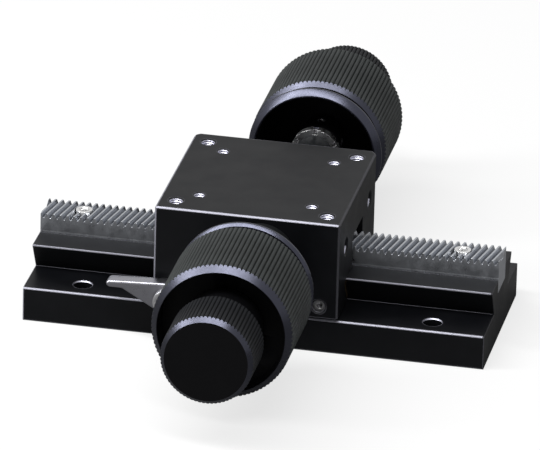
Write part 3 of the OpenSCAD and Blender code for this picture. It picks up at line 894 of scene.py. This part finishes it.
@dataclass
class CoarseKnob:
    """A coarse knob: knurled grip with a cup inside and a recess outside."""

    side: Side
    radius: float = 22.5
    grip_start: float = 62.5
    grip_end: float = 90.5
    end: float = 92.5
    rim: float = 20.5
    groove_start: float = 57.5
    groove_step: float = 0.02
    groove: float = 20.6
    groove_wall: float = 20.9
    set_back: float = 0.4
    front_more: float = 1.1
    band: float = 9.3
    seat_start: float = 55.2
    seat: float = 20.6
    cup: float = 19.8
    web_start: float = 72.0
    web_end: float = 84.0
    recess: float = 20.3
    recess_ease: float = 0.15
    bore: float = 4.0
    boss: float = 7.0
    boss_start: float = 59.4
    boss_ease: float = 0.3
    grub_place: float = 66.0
    grub_hole: float = 1.5
    grub_span: tuple[float, float] = (2.0, 14.0)
    screw_circle: float = 7.5
    screw_hole: float = 2.3
    screw_span: tuple[float, float] = (82.4, 85.0)
    ridge_depth: float = 0.5
    knurl: Knurl = Knurl()

    def hub(self) -> list[Row]:
        """Returns the hub's outline, which has a boss in the back knob alone."""
        if self.side is Side.FRONT:
            return [Row(self.web_start, self.bore)]
        return [
            Row(self.boss_start, self.bore),
            Row(self.boss_start, self.boss, ease=self.boss_ease),
            Row(self.web_start, self.boss),
        ]

    def rows(self) -> list[Row]:
        """Returns the knob's outline."""
        grip, depth = self.radius, self.ridge_depth
        more = self.front_more if self.side is Side.FRONT else 0.0
        start = self.grip_start - self.set_back - more
        groove_end = start - grip + self.groove_wall
        return [
            *self.hub(),
            Row(self.web_start, self.cup),
            Row(self.seat_start, self.cup),
            Row(self.seat_start, self.seat),
            Row(self.groove_start, self.seat),
            Row(self.groove_start + self.groove_step, self.groove),
            Row(groove_end, self.groove),
            Row(groove_end, self.groove_wall, Zone.CHAMFER),
            Row(start, grip, Zone.RIDGES, depth, -1.0),
            Row(self.grip_start + self.band, grip, Zone.RIDGES, depth),
            Row(self.grip_end - self.band, grip, Zone.RIDGES, depth),
            Row(self.grip_end, grip, Zone.CHAMFER, depth, 1.0),
            Row(self.end, self.rim),
            Row(self.end, self.recess, ease=self.recess_ease),
            Row(self.web_end, self.recess),
            Row(self.web_end, self.bore),
        ]

    def drilled(self) -> Mesh:
        """Returns rods in the places of the screw holes."""
        holes = bmesh.new()
        if self.side is Side.BACK:
            place = LAYOUT.on_axis(self.grub_place)
            for axis in (Vector((0, 0, 1)), Vector((1, 0, 0))):
                turn = axis.to_track_quat("Z", "Y").to_matrix().to_4x4()
                Workshop.rod(holes, place @ turn, self.grub_hole, *self.grub_span)
            return holes
        forward = Matrix.Rotation(math.pi / 2, 4, "X")
        for turn in (math.radians(v) for v in LAYOUT.thirds):
            spot = Vector((math.cos(turn), 0, math.sin(turn))) * self.screw_circle * MM
            place = LAYOUT.on_axis(0.0) @ Matrix.Translation(spot) @ forward
            Workshop.rod(holes, place, self.screw_hole, *self.screw_span)
        return holes

    def build(self, finishes: FinishSet) -> None:
        """Builds the knob with its screw holes.

        Args:
            finishes: The stage's finishes.
        """
        word, zones = self.side.name.lower(), finishes.knob(finishes.ridges)
        piece = Workshop.turned(f"{word}_coarse_grip", self.side, self.rows(), self.knurl, zones)
        Workshop.cut(piece, self.drilled())
        Workshop.handed(piece, "coarse_drive", "knob_black", f"{word}_coarse_knob")


@dataclass
class FineKnob:
    """A fine knob: neck in the coarse knob's recess, knurled grip, plain face."""

    side: Side
    radius: float = 14.75
    neck: float = 12.5
    neck_start: float = 86.0
    neck_ease: float = 0.3
    start: float = 96.5
    end: float = 114.5
    band: float = 6.0
    mid_ring: float = 6.0
    back_chamfer: float = 0.8
    front_chamfer: float = 1.5
    bore: float = 2.0
    bore_end: float = 110.0
    grub_place: float = 94.5
    grub_hole: float = 1.5
    grub_span: tuple[float, float] = (0.5, 14.0)
    ridge_depth: float = 0.42
    knurl: Knurl = Knurl(ridges=70)

    def rows(self) -> list[Row]:
        """Returns the knob's outline."""
        grip, depth = self.radius, self.ridge_depth
        return [
            Row(self.neck_start, self.bore),
            Row(self.neck_start, self.neck, ease=self.neck_ease),
            Row(self.start, self.neck),
            Row(self.start, grip - self.back_chamfer, Zone.CHAMFER),
            Row(self.start + self.back_chamfer, grip, Zone.RIDGES, depth, -1.0),
            Row(self.start + self.band, grip, Zone.RIDGES, depth),
            Row(self.end - self.band, grip, Zone.RIDGES, depth),
            Row(self.end - self.front_chamfer, grip, Zone.CHAMFER, depth, 1.0),
            Row(self.end, grip - self.front_chamfer),
            Row(self.end, self.mid_ring),
            Row(self.end, 0.0),
            Row(self.bore_end, 0.0),
            Row(self.bore_end, self.bore),
        ]

    def build(self, finishes: FinishSet) -> None:
        """Builds the knob with its screw hole.

        Args:
            finishes: The stage's finishes.
        """
        word, zones = self.side.name.lower(), finishes.knob(finishes.fine_ridges)
        piece = Workshop.turned(f"{word}_fine_grip", self.side, self.rows(), self.knurl, zones)
        hole = bmesh.new()
        place = LAYOUT.on_axis(self.side.value * self.grub_place)
        down = Matrix.Rotation(math.pi, 4, "X")
        Workshop.rod(hole, place @ down, self.grub_hole, *self.grub_span)
        Workshop.cut(piece, hole)
        Workshop.handed(piece, "fine_drive", "knob_black", f"{word}_fine_knob")


@dataclass
class SkirtRing:
    """The plain ring seated round the mouth of a coarse knob's cup."""

    side: Side
    inner: float = 19.8
    seat: float = 20.6
    outer: float = 22.2
    edge: float = 20.3
    start: float = 54.0
    end: float = 57.5
    shoulder: float = 0.9
    lip: float = 1.2
    face_ease: float = 0.12
    rim_ease: float = 0.15
    knurl: Knurl = Knurl(ridges=192, shape=(1.0,))

    def rows(self) -> list[Row]:
        """Returns the ring's outline."""
        return [
            Row(self.start, self.inner, ease=self.face_ease),
            Row(self.start, self.edge, ease=self.face_ease),
            Row(self.start + self.outer - self.edge, self.outer, ease=self.rim_ease),
            Row(self.end - self.shoulder, self.outer, ease=self.rim_ease),
            Row(self.end, self.outer - self.shoulder),
            Row(self.end, self.seat),
            Row(self.start + self.lip, self.seat),
            Row(self.start + self.lip, self.inner),
        ]

    def build(self, finishes: FinishSet) -> None:
        """Builds the ring.

        Args:
            finishes: The stage's finishes.
        """
        word = self.side.name.lower()
        zones = {Zone.FACE: finishes.ring, Zone.CHAMFER: finishes.ring}
        piece = Workshop.turned(f"{word}_ring", self.side, self.rows(), self.knurl, zones)
        Workshop.handed(piece, "coarse_drive", "ring_grey", f"{word}_skirt_ring")


@dataclass(frozen=True)
class SocketScrew:
    """A screw with a round head and a hexagonal socket, its head's top at the place's origin.

    Attributes:
        head: Radius of the head.
        height: Height of the head.
        shank: Radius of the shank.
        length: Length of the shank under the head.
        key: Distance across the socket's flats.
        depth: Depth of the socket.
        ease: Largest radius that the head's rim is broken with.
    """

    head: float
    height: float
    shank: float
    length: float
    key: float
    depth: float
    ease: float = 0.3
    ease_share: float = 0.12
    bulge: float = 0.3
    sides: int = 48

    def add(self, mesh: Mesh, cutter: Mesh, place: Matrix) -> None:
        """Adds the screw to a mesh and its socket to a cutter.

        Args:
            mesh: The mesh that it goes into.
            cutter: The mesh that is cut out of it.
            place: The screw's place, its head towards Z.
        """
        ease = min(self.ease, self.head * self.ease_share)
        outline = (
            (0.0, -self.height - self.length),
            (self.shank, -self.height - self.length),
            (self.shank, -self.height),
            (self.head, -self.height),
            (self.head, -ease),
            (self.head - ease * self.bulge, -ease * self.bulge),
            (self.head - ease, 0.0),
            (0.0, 0.0),
        )
        rings = [Workshop.circle(mesh, place, *point, self.sides) for point in outline]
        faces: list[Face] = []
        for first, second in zip(rings, rings[1:]):
            faces += Workshop.skinned(mesh, first, second)
        bmesh.ops.recalc_face_normals(mesh, faces=faces)
        corner = self.key / 2 / math.cos(math.pi / 6)
        Workshop.rod(cutter, place, corner, -self.depth, 1.0, sides=6)

    def group(self, name: str, places: list[Matrix], material: Material) -> Piece:
        """Builds one piece of alike screws.

        Args:
            name: Name of the piece.
            places: The screws' places.
            material: Their finish.

        Returns:
            The piece.
        """
        mesh, cutter = bmesh.new(), bmesh.new()
        for place in places:
            self.add(mesh, cutter, place)
        piece = Workshop.finished(name, mesh, [material])
        Workshop.cut(piece, cutter)
        return piece


@dataclass
class Fasteners:
    """The screws that can be seen: in the rack and in the sleeves' flanges."""

    rack_place: float = 62.0
    rack_head: float = 27.7
    flange_face: float = 34.0
    circle: float = 9.0
    rack_screw: SocketScrew = SocketScrew(
        head=2.75, height=3.0, shank=1.5, length=8.0, key=2.5, depth=1.4
    )
    flange_screw: SocketScrew = SocketScrew(
        head=2.2, height=1.6, shank=1.25, length=8.8, key=1.5, depth=0.8
    )

    def build(self, finishes: FinishSet) -> None:
        """Builds the screws.

        Args:
            finishes: The stage's finishes.
        """
        bright, plain = finishes.by_slot["bright_steel"], finishes.by_slot["screw_steel"]
        ends = [Vector((s * self.rack_place, 0, self.rack_head)) * MM for s in (-1, 1)]
        places = [Matrix.Translation(end) for end in ends]
        rack = self.rack_screw.group("rack_cap_screws", places, bright)
        Workshop.handed(rack, "rail", "bright_steel", "rack_screws")
        for side in Side:
            word = side.name.lower()
            outward = Matrix.Rotation(-side.value * math.pi / 2, 4, "X")
            face = LAYOUT.on_axis(side.value * (self.flange_face + self.flange_screw.height))
            out = Vector((self.circle * MM, 0, 0))
            turns = [Matrix.Rotation(math.radians(v), 4, "Z") for v in LAYOUT.thirds]
            places = [face @ outward @ Matrix.Translation(turn @ out) for turn in turns]
            piece = self.flange_screw.group(f"{word}_flange_screws", places, plain)
            Workshop.handed(piece, "carriage", "screw_steel", f"{word}_sleeve_screws")


@dataclass
class ClampLever:
    """The clamp's lever, a flat arm that flares into its hub, with its screw."""

    reach: float = 20.2
    hub: float = 5.5
    hub_steps: int = 40
    width: float = 5.0
    tip: float = 2.4
    top_share: float = 0.84
    flare_share: float = 0.74
    collar_t: float = 2.0
    gap: float = 0.2
    sharp: float = 30.0
    round_edge: float = 0.75
    round_steps: int = 4
    screw: SocketScrew = SocketScrew(
        head=4.25, height=3.0, shank=2.5, length=16.0, key=4.0, depth=2.0
    )

    def outline(self) -> list[tuple[float, float]]:
        """Returns the lever's outline about its pivot."""
        high = self.top_share * self.hub
        low = high - self.tip
        flare = self.flare_share * self.reach
        away = math.hypot(flare, low)
        start = math.pi - math.atan2(low, flare) + math.acos(self.hub / away)
        step = (2.5 * math.pi - start) / self.hub_steps
        turns = [start + step * k for k in range(self.hub_steps + 1)]
        return [
            *((self.hub * math.cos(t), self.hub * math.sin(t)) for t in turns),
            (-self.reach + self.tip / 2, high),
            (-self.reach, high - self.tip / 4),
            (-self.reach, low + self.tip / 4),
            (-self.reach + self.tip / 2, low),
            (-flare, low),
        ]

    def build(self, finishes: FinishSet) -> None:
        """Builds the lever and its screw.

        Args:
            finishes: The stage's finishes.
        """
        near = LAYOUT.front_y - self.gap - self.collar_t - self.width
        pivot = Vector((LAYOUT.carriage_x - LAYOUT.cheek_pitch, near, LAYOUT.cheek_z))
        mesh = bmesh.new()
        face = mesh.faces.new(
            [mesh.verts.new((pivot + Vector((x, 0, z))) * MM) for x, z in self.outline()]
        )
        grown = bmesh.ops.extrude_face_region(mesh, geom=[face])
        moved = [v for v in grown["geom"] if isinstance(v, Vert)]
        bmesh.ops.translate(mesh, verts=moved, vec=(0, self.width * MM, 0))
        bmesh.ops.recalc_face_normals(mesh, faces=mesh.faces)
        limit = math.radians(self.sharp)
        sharp = [edge for edge in mesh.edges if edge.calc_face_angle(0.0) > limit]
        size = {"offset": self.round_edge * MM, "segments": self.round_steps, "profile": 0.5}
        bmesh.ops.bevel(mesh, geom=sharp, affect="EDGES", **size)
        lever = Workshop.finished("lever_arm", mesh, [finishes.by_slot["lever_metal"]])
        Workshop.handed(lever, "clamp", "lever_metal", "clamp_lever")
        top = pivot - Vector((0, self.screw.height, 0))
        place = Matrix.Translation(top * MM) @ Matrix.Rotation(math.pi / 2, 4, "X")
        screw = self.screw.group("lever_screw", [place], finishes.by_slot["screw_steel"])
        Workshop.handed(screw, "clamp", "screw_steel", "clamp_screw")


@dataclass(frozen=True)
class Lamp:
    """A rectangular lamp that looks at the object, in metres and watts.

    Attributes:
        aim: Direction from the object to the lamp.
        target: Height that it looks at.
    """

    name: str
    aim: tuple[float, float, float]
    size: tuple[float, float]
    power: float
    far: float = 1.6
    target: float = 0.03

    def hang(self) -> None:
        """Hangs the lamp."""
        data = bpy.data.lights.new(self.name, "AREA")
        data.shape, data.energy = "RECTANGLE", self.power
        data.size, data.size_y = self.size
        lamp = bpy.data.objects.new(self.name, data)
        away = Vector(self.aim).normalized()
        lamp.location = away * self.far + Vector((0, 0, self.target))
        lamp.rotation_mode = "QUATERNION"
        lamp.rotation_quaternion = away.to_track_quat("Z", "Y")
        bpy.context.scene.collection.objects.link(lamp)


@dataclass
class Studio:
    """The pale floor, the lights and the camera.

    Attributes:
        place: Camera's place in millimetres. Its turns are in degrees.
        glow: Share of plain white in the floor, as the camera sees it.
        mirrored: Colour of the floor as it shows in the gloss of the pieces.
        room: Level of the room as a light.
        room_gloss: Level of the room as it shows in the gloss of the pieces.
    """

    place: tuple[float, float, float] = (465.67, -2389.37, 1094.78)
    yaw: float = 11.05
    pitch: float = -23.644
    roll: float = 1.558
    sensor: float = 36.0
    lens: float = 552.43
    clip: tuple[float, float] = (0.05, 60.0)
    white: float = 0.9
    glow: float = 0.72
    mirrored: float = 0.18
    floor_half: float = 12.0
    floor_drop: float = 0.00002
    room: float = 0.32
    room_gloss: float = 0.85

    def camera(self) -> None:
        """Sets the camera at the photograph's angle."""
        yaw, pitch, roll = (math.radians(v) for v in (self.yaw, self.pitch, self.roll))
        flat = Vector((-math.sin(yaw), math.cos(yaw), 0)) * math.cos(pitch)
        ahead = flat + Vector((0, 0, math.sin(pitch)))
        level = Vector((math.cos(yaw), math.sin(yaw), 0))
        above = level.cross(ahead)
        right = level * math.cos(roll) + above * math.sin(roll)
        up = above * math.cos(roll) - level * math.sin(roll)
        data = bpy.data.cameras.new("view")
        data.sensor_width, data.lens = self.sensor, self.lens
        data.clip_start, data.clip_end = self.clip
        camera = bpy.data.objects.new("view", data)
        turn = Matrix((right, up, -ahead)).transposed().to_4x4()
        camera.matrix_world = Matrix.Translation(Vector(self.place) * MM) @ turn
        bpy.context.scene.collection.objects.link(camera)
        bpy.context.scene.camera = camera

    def floor(self) -> None:
        """Lays the pale floor, which keeps the object's shadow."""
        bench = NodeBench.named("floor_white")
        seen, mirrored = bench.rays()
        tone = bench.blend(mirrored, (self.white,) * 3, (self.mirrored,) * 3)
        plain = bench.put("BsdfDiffuse", {"Color": tone}).outputs[0]
        glow = bench.put("Emission", {"Color": (1.0, 1.0, 1.0), "Strength": 1.0}).outputs[0]
        share = bench.times(seen, self.glow)
        mixed = bench.put("MixShader", {0: share, 1: plain, 2: glow}).outputs[0]
        mesh = bmesh.new()
        bmesh.ops.create_grid(mesh, x_segments=8, y_segments=8, size=self.floor_half)
        floor = Workshop.finished("floor", mesh, [bench.end(mixed)])
        floor.location.z = -self.floor_drop

    def world(self) -> None:
        """Sets the room: white where it is seen, dimmer as a light."""
        bench = NodeBench(bpy.data.worlds.new("room"))
        seen, mirrored = bench.rays()
        level = bench.spread(mirrored, 0.0, 1.0, self.room, self.room_gloss)
        strength = bench.most(seen, level)
        back = bench.put("Background", {"Strength": strength}).outputs[0]
        bpy.context.scene.world = bench.end(back)

    def build(self) -> None:
        """Builds the whole studio."""
        self.camera()
        self.floor()
        Lamp("key", (-0.12, -0.42, 0.90), (1.8, 0.34), 24.0).hang()
        Lamp("side", (-0.74, -0.30, 0.60), (0.28, 0.9), 13.0).hang()
        self.world()
        bpy.context.scene.view_settings.view_transform = "Standard"


def main() -> None:
    """Builds the stage's pieces in order."""
    logging.basicConfig(level=logging.INFO, format="%(name)s: %(message)s")
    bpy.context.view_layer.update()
    finishes = FinishSet()
    LOG.info("carried solids dressed: %d", finishes.dress_carried())
    for side in Side:
        CoarseKnob(side).build(finishes)
        SkirtRing(side).build(finishes)
        FineKnob(side).build(finishes)
    Fasteners().build(finishes)
    ClampLever().build(finishes)
    Studio().build()


if __name__ == "__main__":
    main()
